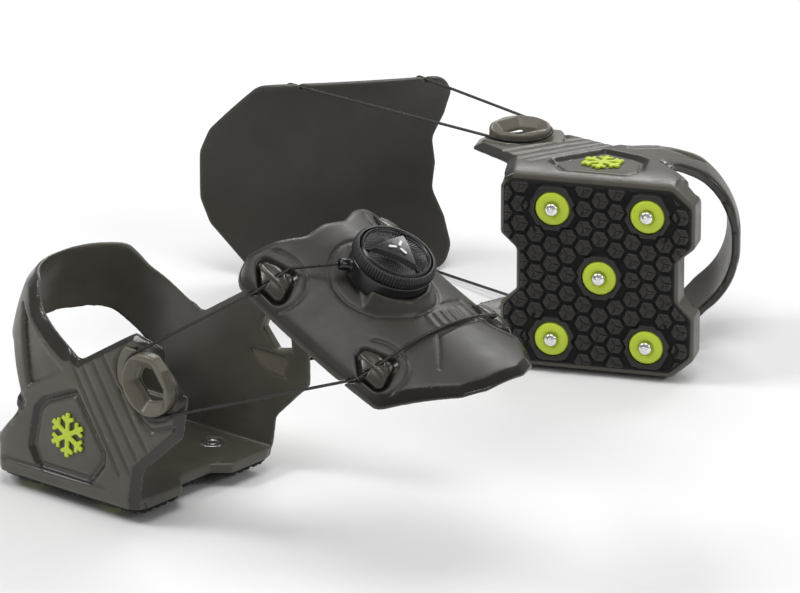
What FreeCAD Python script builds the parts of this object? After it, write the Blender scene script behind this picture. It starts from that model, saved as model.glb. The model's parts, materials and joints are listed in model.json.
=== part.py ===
"""A pair of heel ice cleats with dial lacing: a rubber heel cup on a studded tread, a curved instep plate, and a
steel lace that a reel on the plate winds in.

One cleat is built in its own frame: +X towards the toe, +Y to the wearer's left, +Z up, z = 0 at the spike tips,
x = y = 0 at the middle spike. The right cleat stands on its spikes, and the left one lies on its side behind it.
Units are millimetres and degrees.
"""

import FreeCAD, Part
import math
import os

from FreeCAD import Placement, Rotation, Vector

# ---------------------------------------------------------------- driving dimensions
# heights above the spike tips
LUG_FACE_Z = 3.0                # walking face of the tread lugs
GROOVE_Z = 4.2                  # bottom of the grooves between the lugs
SOLE_Z = 5.5                    # tread meets the heel cup
SEAT_Z = 9.5                    # the boot's heel rests here

# tread outline, an I with a waist in its front and rear edges
TREAD_FRONT_X = 39.0
TREAD_REAR_X = -36.0
WAIST_DEPTH = 6.5
WAIST_HALF_Y = 8.0
WAIST_END_Y = 15.0
TREAD_HALF_Y = 37.5
FLANGE = 1.5                    # the cup's sole is this much larger than the tread

# heel cup wall: (height, half width, rear end x, corner length along x, corner width along y)
WALL = 3.2
HEEL_SECTIONS = [
    (3.0, 38.5, -37.0, 9.0, 9.0),
    (12.0, 40.5, -38.5, 13.0, 15.0),
    (28.0, 39.8, -42.5, 24.0, 28.0),
    (44.0, 38.4, -44.5, 34.0, 34.0),
    (58.0, 36.9, -44.0, 38.0, 34.0),
    (70.0, 35.2, -41.0, 37.0, 33.0),
    (82.0, 33.0, -36.0, 34.0, 31.0),
    (92.0, 31.0, -33.0, 33.0, 29.0),
]
WALL_FRONT_X = 66.0
REAR_LIP_Z = 17.0

PANEL_FLOOR_Y = -38.5           # floor of the sunk panel in the wall, at the badge's middle
PANEL_LEAN = -3.7               # the panel and its badge lean in with the wall
BADGE_CENTRE = (5.0, 28.0)
BADGE_FACE_Y = -39.7

# side view of the wall, (x, z, corner radius), from the rear of the strap over the top to the front
WALL_OUTLINE = [
    (-60.0, 84.0, 0.0), (-21.0, 81.0, 5.0), (-15.0, 72.0, 10.0), (8.0, 57.5, 4.0),
    (34.0, 74.0, 4.0), (48.0, 71.0, 4.0), (62.0, 56.0, 3.0), (60.5, 39.5, 2.5), (42.0, 22.0, 9.0),
    (39.0, 2.0, 0.0), (-29.0, 2.0, 0.0), (-29.0, 17.0, 0.0), (-35.0, 17.0, 2.0), (-18.0, 35.0, 12.0),
    (-32.0, 53.0, 10.0), (-60.0, 56.0, 0.0),
]

# studs: discs in the tread with a steel spike in each
SPIKES = [(0.0, 0.0), (19.0, 27.0), (19.0, -27.0), (-19.0, 27.0), (-19.0, -27.0)]
DISC_R = 7.0
DISC_FACE_Z = 2.2
SPIKE_TIP_R = 2.6
SPIKE_SEAT_Z = 3.1
SPIKE_SHANK_R = 2.0
INSERT_FLANGE_R = 4.8
INSERT_HUB_R = 3.0
INSERT_FLANGE_Z = 8.3
LUG_R = 3.85                    # corner radius of a hexagonal lug
LUG_PITCH_X = 6.45
LUG_PITCH_Y = 7.9
BOSS_R = 10.3                   # corner radius of the hexagonal boss round a disc

# lace guide on the heel cup, a ring about the axis that the instep plate swings on
RING_X = 46.0
RING_Z = 58.0
RING_R = 12.2
RING_OUTER_Y = -41.4
RING_INNER_Y = -36.7
FLANGE_INNER_Y = -35.4
FLANGE_R = 18.0
POCKET_R = 14.2
POCKET_FLOOR_Y = -38.0
RING_WINDOW = [(-5.5, 6.0, 1.0), (-8.0, 0.0, 1.0), (-1.5, -7.5, 1.0), (6.5, -5.5, 1.0), (6.5, -1.0, 1.0),
               (1.5, 6.0, 1.0)]

# steel lace
LACE_R = 0.6
LACE_HOLE_R = 0.85
LACE_WRAP_R = RING_R + LACE_R + 0.1
LACE_Y = -38.6

# instep plate, a shell arched across the foot and slightly hollow along it
PLATE_CENTRE = Vector(127.5, 0.0, 108.0)
PLATE_SLOPE = 26.0
ARCH_R = 70.0
HOLLOW_R = 420.0
PLATE_T = 3.6
PLATE_HALF = [(-33.0, 0.0, 0.0), (-31.5, -11.0, 8.0), (-36.0, -22.0, 8.0), (-38.0, -33.0, 6.0),
              (-34.0, -41.0, 8.0), (42.0, -41.5, 6.0), (60.0, -20.0, 6.0), (63.5, -10.0, 8.0), (63.5, 0.0, 0.0)]
COLLAR_R = 19.5
COLLAR_H = 4.0

# lace guides on the plate
GUIDE_SPOTS = {"rear": (-23.0, -33.0), "front": (30.0, -33.0)}
GUIDE_OUTLINE = [(-10.0, 0.8, 2.0), (3.0, 7.0, 2.5), (8.5, -6.0, 2.0), (-1.0, -6.0, 6.0)]
GUIDE_DEPTH = 2.2
GUIDE_PAD_T = 1.0
POST_HALF = (9.2, 5.4, 3.3)     # half sizes of the rounded post
POST_TURN = -18.0

# reel and dial, about the plate's normal at its centre
HOUSING_R = 15.4
HOUSING_BORE_R = 12.6
HOUSING_TOP = 8.0
PORT_H = 3.6
PORT_ANGLE = 56.0               # the lace leaves the reel at this angle from the rear
PORT_R = 2.3
PORT_START_R = 13.2             # a port tube runs outward from this radius
PORT_LENGTH = 6.5
PORT_RISE = 0.4                 # a port tube's middle over the lace
SPOOL_FLANGE_R = 11.6
SPOOL_BARREL_R = 6.0
SPOOL_LOW = 1.2
SPOOL_HIGH = 6.2
SPOOL_FLANGE_T = 0.8
SPINDLE_R = 2.0
DISC_LOW = 6.4
DISC_HIGH = 7.6
RATCHET_TEETH = 24
DIAL_LOW = 8.4
DIAL_TOP = 15.4
DIAL_CORE_R = 14.2
DIAL_GRIP_R = 16.2
GRIP_RIBS = 84
SCREW_HEAD_R = 3.2
SCREW_SEAT_Z = 12.4
EMBLEM_BAR_W = 1.0
EMBLEM_BAR_RISE = 0.5
FIT = 0.05                      # radial play of a close fit

# how the two cleats stand before they are lowered to the ground: the place of the middle spike, and the turn
LEFT_TURN = 205.0
CLEATS = [
    ("right", Placement(Vector(0.0, 0.0, 0.0), Rotation())),
    ("left", Placement(Vector(74.0, 192.0, 41.0),
                       Rotation(Vector(0, 0, 1), LEFT_TURN) * Rotation(Vector(1, 0, 0), 90.0))),
]


# ---------------------------------------------------------------- helpers
def in_plan(x, y):
    return Vector(x, y, 0.0)


def in_side_view(x, z):
    return Vector(x, 0.0, z)


def rounded_wire(corners, place):
    """A closed wire through corners (a, b, radius) with a tangent arc at each; place turns (a, b) into a point."""
    count = len(corners)
    arcs = []
    for i, (a, b, radius) in enumerate(corners):
        here = Vector(a, b, 0)
        back = (Vector(*corners[i - 1][:2], 0) - here).normalize()
        ahead = (Vector(*corners[(i + 1) % count][:2], 0) - here).normalize()
        half = back.getAngle(ahead) / 2
        cut = radius / math.tan(half)
        bisector = (back + ahead).normalize() if radius else Vector()
        middle = here + bisector * (radius / math.sin(half) - radius)
        arcs.append((here + back * cut, middle, here + ahead * cut))
    edges = []
    for i, (start, middle, end) in enumerate(arcs):
        if (end - start).Length > 1e-6:
            edges.append(Part.Arc(*[place(p.x, p.y) for p in (start, middle, end)]).toShape())
        following = arcs[(i + 1) % count][0]
        edges.append(Part.makeLine(place(end.x, end.y), place(following.x, following.y)))
    return Part.Wire(edges)


def prism(corners, place, start, travel):
    """The solid swept by a rounded outline, moved by start, along travel."""
    face = Part.Face(rounded_wire(corners, place))
    face.translate(start)
    return face.extrude(travel)


def rod(radius, low, high, x=0.0, y=0.0):
    return Part.makeCylinder(radius, high - low, Vector(x, y, low))


def ring(outer_r, inner_r, low, high):
    return rod(outer_r, low, high).cut(rod(inner_r, low - 1, high + 1))


def hexagon(radius, low, high, x=0.0, y=0.0):
    points = [Vector(x + radius * math.cos(math.radians(60 * k)), y + radius * math.sin(math.radians(60 * k)), low)
              for k in range(7)]
    return Part.Face(Part.makePolygon(points)).extrude(Vector(0, 0, high - low))


def spun(profile):
    """A solid of revolution about Z from (radius, z) points."""
    points = [Vector(r, 0, z) for r, z in profile]
    face = Part.Face(Part.makePolygon(points + points[:1]))
    return face.revolve(Vector(0, 0, 0), Vector(0, 0, 1), 360)


def joined(shapes):
    return shapes[0].fuse(shapes[1:]).removeSplitter()


def mirrored(shape):
    return shape.mirror(Vector(0, 0, 0), Vector(0, 1, 0))


def rounded_path(points, radii):
    """Straight runs through points, joined by tangent arcs of the given radii at the inner points."""
    edges = []
    start = points[0]
    for i in range(1, len(points) - 1):
        here = points[i]
        back = (points[i - 1] - here).normalize()
        ahead = (points[i + 1] - here).normalize()
        half = back.getAngle(ahead) / 2
        radius = radii[i - 1]
        cut = radius / math.tan(half)
        middle = here + (back + ahead).normalize() * (radius / math.sin(half) - radius)
        edges.append(Part.makeLine(start, here + back * cut))
        edges.append(Part.Arc(here + back * cut, middle, here + ahead * cut).toShape())
        start = here + ahead * cut
    edges.append(Part.makeLine(start, points[-1]))
    return Part.Wire(edges)


def tube(path, radius):
    """A round tube along a path."""
    first = path.OrderedEdges[0]
    direction = first.tangentAt(first.FirstParameter)
    circle = Part.Wire(Part.makeCircle(radius, path.OrderedVertexes[0].Point, direction))
    return path.makePipeShell([circle], True, True, 0)


# ---------------------------------------------------------------- heel cup
def i_outline(inset):
    """Plan of the tread, drawn in by inset."""
    front = TREAD_FRONT_X - inset
    rear = TREAD_REAR_X + inset
    side = TREAD_HALF_Y - inset
    waist_y = WAIST_HALF_Y - inset * 0.4
    end_y = WAIST_END_Y + inset * 0.4
    near = [(front - 3, -side, 3), (front, -side + 3, 2), (front, -end_y, 2), (front - WAIST_DEPTH, -waist_y, 2)]
    rear_near = [(rear + WAIST_DEPTH, -waist_y, 2), (rear, -end_y, 2), (rear, -side + 7, 3), (rear + 8, -side, 3)]
    far = [(x, -y, r) for x, y, r in reversed(near)]
    rear_far = [(x, -y, r) for x, y, r in reversed(rear_near)]
    return near + far + rear_far + rear_near


def heel_section(height, half_y, rear_x, corner_x, corner_y, inset, front_x):
    """One level section of the cup: open sides running forward, and a rounded heel."""
    side = half_y - inset
    rear = rear_x + inset
    long_x = corner_x - inset / 2
    long_y = corner_y - inset / 2
    round_off = 0.5523          # a cubic that follows a quarter ellipse

    def corner(sign):
        points = [(rear + long_x, side), (rear + long_x * (1 - round_off), side),
                  (rear, side - long_y * (1 - round_off)), (rear, side - long_y)]
        curve = Part.BezierCurve()
        curve.setPoles([Vector(x, sign * y, height) for x, y in points])
        return curve.toShape()

    near, far = corner(-1), corner(1)
    flat = side - long_y
    edges = [
        Part.makeLine(Vector(front_x, -side, height), Vector(rear + long_x, -side, height)),
        near,
        Part.makeLine(Vector(rear, -flat, height), Vector(rear, flat, height)),
        far,
        Part.makeLine(Vector(rear + long_x, side, height), Vector(front_x, side, height)),
        Part.makeLine(Vector(front_x, side, height), Vector(front_x, -side, height)),
    ]
    return Part.Wire(Part.__sortEdges__(edges))


def heel_form(inset, front_x):
    """The heel-shaped solid that the wall's outer or inner face follows."""
    wires = [heel_section(*section, inset, front_x) for section in HEEL_SECTIONS]
    return Part.makeLoft(wires, True, False)


def badge_panel():
    """Side view of the sunk panel on the wall, (x, z, radius)."""
    return [(8, 45, 1.5), (-6, 39, 1.5), (-10, 35, 1.5), (-12, 20, 1.5), (-8, 13, 1.5), (17, 13, 1.5), (23, 21, 1.5),
            (23, 25, 1.5)]


def leaned(shape):
    """The shape tilted with the near wall, about the level of the badge's middle."""
    tilted = shape.copy()
    tilted.rotate(Vector(0, PANEL_FLOOR_Y, BADGE_CENTRE[1]), Vector(1, 0, 0), PANEL_LEAN)
    return tilted


def guide_window():
    """Hole through the heel guide and the wall behind it."""
    return prism(RING_WINDOW, in_side_view, Vector(RING_X, -60, RING_Z), Vector(0, 60, 0))


def heel_cup(guide):
    shell = heel_form(0.0, WALL_FRONT_X).cut(heel_form(WALL, WALL_FRONT_X + 5))
    across = Vector(0, 140, 0)
    side_view = prism(WALL_OUTLINE, in_side_view, Vector(0, -70, 0), across)
    wall = shell.common(side_view)
    sole = prism(i_outline(-FLANGE), in_plan, Vector(0, 0, SOLE_Z), Vector(0, 0, SEAT_Z - SOLE_Z))
    lip = prism(i_outline(-FLANGE), in_plan, Vector(0, 0, SOLE_Z), Vector(0, 0, REAR_LIP_Z - SOLE_Z))
    lip = lip.cut(prism(i_outline(WALL - FLANGE), in_plan, Vector(0, 0, SOLE_Z), Vector(0, 0, REAR_LIP_Z)))
    lip = lip.common(Part.makeBox(30, 120, 60, Vector(TREAD_REAR_X - FLANGE - 1, -60, 0)))
    below = Part.makeBox(200, 200, SOLE_Z, Vector(-100, -100, 0))
    cup = joined([wall.cut(below), sole, lip])
    pocket = Part.makeCylinder(POCKET_R, POCKET_FLOOR_Y + 50, Vector(RING_X, -50, RING_Z), Vector(0, 1, 0))
    panel = leaned(prism(badge_panel(), in_side_view, Vector(0, -60, 0), Vector(0, PANEL_FLOOR_Y + 60, 0)))
    for hollow in (pocket, panel, guide_window(), guide):
        cup = cup.cut(hollow).cut(mirrored(hollow))
    for x, y in SPIKES:
        cup = cup.cut(rod(INSERT_HUB_R, 0, SEAT_Z + 1, x, y))
        cup = cup.cut(rod(INSERT_FLANGE_R, INSERT_FLANGE_Z, SEAT_Z + 1, x, y))
    return cup


def heel_guide():
    """The hard ring that the lace turns round, with a flange moulded into the rubber behind it."""
    centre = Vector(RING_X, 0, RING_Z)
    body = Part.makeCylinder(RING_R, RING_INNER_Y - RING_OUTER_Y, Vector(RING_X, RING_OUTER_Y, RING_Z),
                             Vector(0, 1, 0))
    flat_front = [(-20, 13, 0), (2.0, 13.5, 1), (8.5, 7.0, 2), (11.8, -1, 2), (11.0, -8.5, 1), (5, -14, 1),
                  (-20, -14, 0)]
    body = body.common(prism(flat_front, in_side_view, centre + Vector(0, -60, 0), Vector(0, 60, 0)))
    flange = Part.makeCylinder(FLANGE_R, FLANGE_INNER_Y - RING_INNER_Y, Vector(RING_X, RING_INNER_Y, RING_Z),
                               Vector(0, 1, 0))
    rear_sector = [(-30, 11, 0), (-9, 11, 1), (0, 8, 0), (4, -10, 0), (2, -15, 2), (2, -30, 0), (-30, -30, 0)]
    flange = flange.common(prism(rear_sector, in_side_view, centre + Vector(0, -60, 0), Vector(0, 60, 0)))
    return joined([body, flange]).cut(guide_window())


def badge():
    """Six-armed snow star on the sunk panel."""
    centre = Vector(BADGE_CENTRE[0], 0.0, BADGE_CENTRE[1])
    depth = PANEL_FLOOR_Y - BADGE_FACE_Y
    arm_length, arm_width, barb_length, barb_at = 8.6, 1.9, 3.2, 5.2
    bars = []
    for k in range(6):
        arm = Part.makeBox(arm_length, depth, arm_width, Vector(0, 0, -arm_width / 2))
        barbs = []
        for tilt in (-60, 60):
            barb = Part.makeBox(barb_length, depth, arm_width * 0.8, Vector(0, 0, -arm_width * 0.4))
            barb.rotate(Vector(0, 0, 0), Vector(0, 1, 0), tilt)
            barb.translate(Vector(barb_at, 0, 0))
            barbs.append(barb)
        piece = joined([arm] + barbs)
        piece.rotate(Vector(0, 0, 0), Vector(0, 1, 0), 30 + 60 * k)
        bars.append(piece)
    star = joined(bars)
    star.translate(centre + Vector(0, BADGE_FACE_Y, 0))
    return leaned(star)


# ---------------------------------------------------------------- tread and studs
def tread_pad():
    base = prism(i_outline(0.0), in_plan, Vector(0, 0, GROOVE_Z), Vector(0, 0, SOLE_Z - GROOVE_Z))
    field = prism(i_outline(0.8), in_plan, Vector(0, 0, LUG_FACE_Z), Vector(0, 0, SOLE_Z - LUG_FACE_Z))
    bosses = [hexagon(BOSS_R, LUG_FACE_Z - 0.4, GROOVE_Z + 0.5, x, y) for x, y in SPIKES]
    bossed = joined(bosses)
    lugs = []
    for column in range(-6, 7):
        shift = LUG_PITCH_Y / 2 if column % 2 else 0.0
        for row in range(-5, 6):
            x, y = column * LUG_PITCH_X, row * LUG_PITCH_Y + shift
            if min(math.hypot(x - sx, y - sy) for sx, sy in SPIKES) > BOSS_R - 1:
                lugs.append(hexagon(LUG_R, LUG_FACE_Z, GROOVE_Z + 0.5, x, y))
    lug_field = Part.makeCompound(lugs).common(field)
    pad = base.fuse(lug_field.Solids + bossed.common(base.fuse(field).fuse(bossed)).Solids).removeSplitter()
    for x, y in SPIKES:
        pad = pad.cut(rod(DISC_R + 0.1, 0, SOLE_Z + 1, x, y))
    return pad


def spike_base():
    """Disc with a rounded face, a dished centre and a hole for the spike."""
    return spun([(SPIKE_SHANK_R, SPIKE_SEAT_Z), (SPIKE_TIP_R + 0.6, SPIKE_SEAT_Z), (SPIKE_TIP_R + 1.0, DISC_FACE_Z),
                 (DISC_R - 1.2, DISC_FACE_Z), (DISC_R - 0.4, DISC_FACE_Z + 0.4), (DISC_R, DISC_FACE_Z + 1.2),
                 (DISC_R, SOLE_Z), (SPIKE_SHANK_R, SOLE_Z)])


def ice_spike():
    """Steel spike: a blunt tip, a shoulder on the disc and a shank up through the sole."""
    return spun([(0, 0), (1.1, 0), (1.7, 0.5), (SPIKE_TIP_R - 0.3, 1.0), (SPIKE_TIP_R, 1.4),
                 (SPIKE_TIP_R, SPIKE_SEAT_Z), (SPIKE_SHANK_R, SPIKE_SEAT_Z), (SPIKE_SHANK_R, SEAT_Z - 0.3),
                 (0, SEAT_Z - 0.3)])


def spike_insert():
    """Flanged steel bush that clamps a spike's shank from inside the cup."""
    return spun([(SPIKE_SHANK_R, SOLE_Z), (INSERT_HUB_R, SOLE_Z), (INSERT_HUB_R, INSERT_FLANGE_Z),
                 (INSERT_FLANGE_R, INSERT_FLANGE_Z), (INSERT_FLANGE_R, SEAT_Z - 0.2),
                 (SPIKE_SHANK_R, SEAT_Z - 0.2)])


def at_each_spike(shape):
    copies = []
    for x, y in SPIKES:
        copy = shape.copy()
        copy.translate(Vector(x, y, 0))
        copies.append(copy)
    return Part.makeCompound(copies)


# ---------------------------------------------------------------- instep plate
PLATE_FRAME = Placement(PLATE_CENTRE, Rotation(Vector(0, 1, 0), PLATE_SLOPE))


def plate_height(u, v):
    """Height of the plate's outer face over its centre, u along the foot and v across it."""
    arch = math.sqrt(ARCH_R ** 2 - v ** 2) - ARCH_R
    return HOLLOW_R - math.sqrt((HOLLOW_R - arch) ** 2 - u ** 2)


def plate_point(u, v, above=0.0):
    return PLATE_FRAME.multVec(Vector(u, v, plate_height(u, v) + above))


def guide_frame(u, v):
    """Frame on the plate's face at a lace guide, its Z along the face's normal."""
    lean = Rotation(Vector(1, 0, 0), -math.degrees(math.asin(v / ARCH_R)))
    return PLATE_FRAME * Placement(Vector(u, v, plate_height(u, v)), lean)


def placed(shape, frame):
    moved = shape.copy()
    moved.Placement = frame * moved.Placement
    return moved


def arched_slab(top, bottom):
    """The plate's curved sheet between two heights over its outer face, in the plate's frame."""
    wedge = 47.0
    outer, inner = ARCH_R + top, ARCH_R + bottom

    def point(radius, side):
        angle = wedge / ARCH_R * side
        return Vector(0, radius * math.sin(angle), radius * math.cos(angle) - ARCH_R)

    edges = [Part.Arc(point(outer, -1), point(outer, 0), point(outer, 1)).toShape(),
             Part.makeLine(point(outer, 1), point(inner, 1)),
             Part.Arc(point(inner, 1), point(inner, 0), point(inner, -1)).toShape(),
             Part.makeLine(point(inner, -1), point(outer, -1))]
    face = Part.Face(Part.Wire(edges))
    half_sweep = 12.0
    face.rotate(Vector(0, 0, HOLLOW_R), Vector(0, 1, 0), -half_sweep)
    return face.revolve(Vector(0, 0, HOLLOW_R), Vector(0, 1, 0), 2 * half_sweep)


def plate_outline():
    far = [(u, -v, r) for u, v, r in reversed(PLATE_HALF) if v]
    return [corner for corner in PLATE_HALF if corner[1] or corner[0]] + far


def guide_recess():
    return prism(GUIDE_OUTLINE, in_plan, Vector(0, 0, -GUIDE_DEPTH), Vector(0, 0, 20))


def plate_guide():
    """Pad that fills the floor of a recess, with a rounded post that the lace passes through."""
    pad = prism([(x * 0.97, y * 0.97, r) for x, y, r in GUIDE_OUTLINE], in_plan, Vector(0, 0, -GUIDE_DEPTH),
                Vector(0, 0, GUIDE_PAD_T))
    scale = FreeCAD.Matrix()
    scale.scale(Vector(*POST_HALF))
    post = Part.makeSphere(1.0).transformGeometry(scale)
    post.rotate(Vector(0, 0, 0), Vector(0, 0, 1), POST_TURN)
    post.translate(Vector(-0.5, -1.2, -0.9))
    post = post.common(prism(GUIDE_OUTLINE, in_plan, Vector(0, 0, -GUIDE_DEPTH), Vector(0, 0, 20)))
    return joined([pad, post])


def instep_plate(lace_holes):
    plate = arched_slab(0.0, -PLATE_T)
    outline = prism(plate_outline(), in_plan, Vector(0, 0, -40), Vector(0, 0, 80))
    plate = plate.common(outline)
    collar = spun([(0, -2), (COLLAR_R, -2), (COLLAR_R, 0.4), (COLLAR_R - 1.5, COLLAR_H - 0.6),
                   (COLLAR_R - 2.5, COLLAR_H), (0, COLLAR_H)])
    collar = collar.fuse(rod(COLLAR_R, -4.5, -1.5).common(arched_slab(0.5, -PLATE_T)))
    plate = joined([plate, collar]).cut(rod(HOUSING_R, 0.0, 20))
    for port in reel_ports(PORT_R + FIT, PORT_START_R - 1):
        plate = plate.cut(port)
    plate = placed(plate, PLATE_FRAME)
    for u, v in GUIDE_SPOTS.values():
        recess = placed(guide_recess(), guide_frame(u, v))
        plate = plate.cut(recess).cut(mirrored(recess))
    for hole in lace_holes:
        plate = plate.cut(hole)
    return plate


# ---------------------------------------------------------------- reel and dial, in the plate's frame
def port_direction():
    angle = math.radians(180 + PORT_ANGLE)
    return Vector(math.cos(angle), math.sin(angle), 0)


def reel_ports(radius, start):
    """Two round tubes that the lace leaves the reel through, from a radius outward."""
    ports = []
    for sign in (1, -1):
        out = Vector(port_direction().x, sign * port_direction().y, 0)
        middle = out * start + Vector(0, 0, PORT_H + PORT_RISE)
        ports.append(Part.makeCylinder(radius, PORT_START_R + PORT_LENGTH - start, middle, out))
    return ports


def reel_housing(lace_holes):
    """Cup that holds the spool: a floor with a spindle, a toothed ring inside its mouth, and two lace ports."""
    cup = rod(HOUSING_R, 0, HOUSING_TOP).cut(rod(HOUSING_BORE_R, 1.0, 20))
    tooth_ring = []
    for k in range(RATCHET_TEETH):
        angle = 360 / RATCHET_TEETH
        tooth = Part.Face(Part.makePolygon([Vector(HOUSING_BORE_R + 0.2, 0, DISC_LOW), Vector(12.0, 0, DISC_LOW),
                                            Vector(12.4, 2.2, DISC_LOW), Vector(HOUSING_BORE_R + 0.2, 2.2, DISC_LOW),
                                            Vector(HOUSING_BORE_R + 0.2, 0, DISC_LOW)]))
        tooth = tooth.extrude(Vector(0, 0, HOUSING_TOP - DISC_LOW))
        tooth.rotate(Vector(0, 0, 0), Vector(0, 0, 1), k * angle)
        tooth_ring.append(tooth)
    spindle = rod(SPINDLE_R, 0.5, DISC_HIGH + 0.4)
    ports = [port.cut(rod(HOUSING_BORE_R + 0.5, -10, 20)) for port in reel_ports(PORT_R, PORT_START_R)]
    housing = joined([cup, spindle] + ports + tooth_ring)
    housing = placed(housing, PLATE_FRAME)
    for hole in lace_holes:
        housing = housing.cut(hole)
    return housing


def spool():
    bore = SPINDLE_R + FIT
    return spun([(bore, SPOOL_LOW), (SPOOL_FLANGE_R, SPOOL_LOW), (SPOOL_FLANGE_R, SPOOL_LOW + SPOOL_FLANGE_T),
                 (SPOOL_BARREL_R, SPOOL_LOW + SPOOL_FLANGE_T), (SPOOL_BARREL_R, SPOOL_HIGH - SPOOL_FLANGE_T),
                 (SPOOL_FLANGE_R, SPOOL_HIGH - SPOOL_FLANGE_T), (SPOOL_FLANGE_R, SPOOL_HIGH), (bore, SPOOL_HIGH)])


def lace_winding():
    """The wound lace on the spool's barrel."""
    return ring(9.6, SPOOL_BARREL_R, SPOOL_LOW + SPOOL_FLANGE_T, SPOOL_HIGH - SPOOL_FLANGE_T)


def drive_disc():
    """Disc on the spool with three sprung pawls that click along the housing's teeth."""
    disc = ring(7.0, SPINDLE_R + FIT, SPOOL_HIGH, DISC_HIGH)
    pawls = []
    for k in range(3):
        pawl = Part.makeBox(1.4, 8.5, DISC_HIGH - DISC_LOW, Vector(5.5, -1.0, DISC_LOW))
        pawl.rotate(Vector(5.5, 0, 0), Vector(0, 0, 1), 14)
        pawl.rotate(Vector(0, 0, 0), Vector(0, 0, 1), 120 * k)
        pawls.append(pawl)
    limit = rod(11.4, 0, 20)
    return joined([disc] + [pawl.common(limit).cut(rod(SPINDLE_R + 1, 0, 20)) for pawl in pawls])


def dial_core():
    """Hard cap of the dial: a skirt, a domed top with three scoops, and a seat for the screw."""
    dome = spun([(0, DIAL_LOW + 1.6), (12.6, DIAL_LOW + 1.6), (12.6, DIAL_LOW), (DIAL_CORE_R, DIAL_LOW),
                 (DIAL_CORE_R, 12.6), (DIAL_CORE_R - 1.2, 13.9), (DIAL_CORE_R - 4.0, 14.9), (6.2, DIAL_TOP),
                 (0, DIAL_TOP)])
    for k in range(3):
        scoop = Part.makeSphere(9.0, Vector(12.5, 0, DIAL_TOP + 7.6))
        scoop.rotate(Vector(0, 0, 0), Vector(0, 0, 1), 120 * k + 60)
        dome = dome.cut(scoop)
    dome = dome.cut(rod(SCREW_HEAD_R + FIT, SCREW_SEAT_Z, 20)).cut(rod(1.7, 0, 20))
    return dome.cut(ring(8.0, 4.2, 0, DIAL_LOW + 2.6))


def dial_grip():
    """Rubber tyre round the dial, with upright ribs."""
    band = ring(DIAL_GRIP_R - 0.5, DIAL_CORE_R, DIAL_LOW, 12.8)
    ribs = []
    for k in range(GRIP_RIBS):
        rib = Part.makeBox(0.9, 0.8, 12.4 - DIAL_LOW, Vector(DIAL_GRIP_R - 0.9, -0.4, DIAL_LOW))
        rib.rotate(Vector(0, 0, 0), Vector(0, 0, 1), 360 * k / GRIP_RIBS)
        ribs.append(rib)
    return joined([band] + ribs)


def dial_spring():
    """Flat spring washer under the dial, which holds it in its pressed or lifted place."""
    return ring(7.6, 4.6, DIAL_LOW + 0.6, DIAL_LOW + 1.8)


def dial_screw():
    """Screw down the middle of the dial."""
    return joined([rod(SCREW_HEAD_R, SCREW_SEAT_Z, SCREW_SEAT_Z + 1.5), rod(1.6, DISC_HIGH + 0.8, 12.6)]).cut(
        Part.makeBox(4.6, 0.8, 2, Vector(-2.3, -0.4, 13.2)))


def dial_emblem():
    """Plain button that covers the screw, with three short raised bars that point outward."""
    button = rod(SCREW_HEAD_R - 0.1, SCREW_SEAT_Z + 1.5, DIAL_TOP)
    bars = []
    for k in range(3):
        bar = Part.makeBox(SCREW_HEAD_R - 1.2, EMBLEM_BAR_W, EMBLEM_BAR_RISE + 0.2,
                           Vector(0.8, -EMBLEM_BAR_W / 2, DIAL_TOP - 0.2))
        bar.rotate(Vector(0, 0, 0), Vector(0, 0, 1), 120 * k)
        bars.append(bar)
    return joined([button] + bars)


# ---------------------------------------------------------------- lace
def guide_point(spot, x, y, z):
    return guide_frame(*GUIDE_SPOTS[spot]).multVec(Vector(x, y, z))


def tunnel_in(spot):
    return guide_point(spot, 0.8, 6.2, 1.7)


def tunnel_out(spot):
    return guide_point(spot, -0.8, -8.2, 0.6)


def tunnel_middle(spot, shift=0.0):
    start, end = tunnel_in(spot), tunnel_out(spot)
    return start + (end - start) * (0.5 + shift)


def wrap_tangent(point, side):
    """Angle in the side view at which the lace from point meets its wrap round the heel guide."""
    dx, dz = point.x - RING_X, point.z - RING_Z
    return math.atan2(dz, dx) + side * math.acos(LACE_WRAP_R / math.hypot(dx, dz))


def wrap_point(angle):
    return Vector(RING_X + LACE_WRAP_R * math.cos(angle), LACE_Y, RING_Z + LACE_WRAP_R * math.sin(angle))


def span_path():
    """From the rear plate guide round the heel guide to the front plate guide."""
    shift = 0.3 / (tunnel_out("rear") - tunnel_in("rear")).Length
    top = wrap_tangent(tunnel_out("rear"), 1)
    bottom = wrap_tangent(tunnel_out("front"), -1) + 2 * math.pi
    first = rounded_path([tunnel_middle("rear", shift), tunnel_out("rear"), wrap_point(top)], [3.0])
    wrap = Part.Arc(wrap_point(top), wrap_point((top + bottom) / 2), wrap_point(bottom)).toShape()
    last = rounded_path([wrap_point(bottom), tunnel_out("front"), tunnel_middle("front", shift)], [3.0])
    return Part.Wire(first.Edges + [wrap] + last.Edges)


def reel_run_path():
    """From inside the reel out of its port and into the rear plate guide."""
    out = port_direction()
    inside = PLATE_FRAME.multVec(out * 11.0 + Vector(0, 0, PORT_H))
    outside = PLATE_FRAME.multVec(out * 20.5 + Vector(0, 0, PORT_H + 0.2))
    return rounded_path([inside, outside, tunnel_in("rear"), tunnel_middle("rear")], [3.0, 2.0])


def crossing_path():
    """Over the crown of the plate between the two front guides."""
    u = GUIDE_SPOTS["front"][0] + 0.8
    near = [tunnel_middle("front"), tunnel_in("front"), plate_point(u, -21, 1.6), plate_point(u, -11, 1.0),
            plate_point(u, 0, 0.9)]
    far = [Vector(p.x, -p.y, p.z) for p in reversed(near[:-1])]
    return rounded_path(near + far, [2.0, 12.0, 20.0, 20.0, 20.0, 12.0, 2.0])


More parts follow.
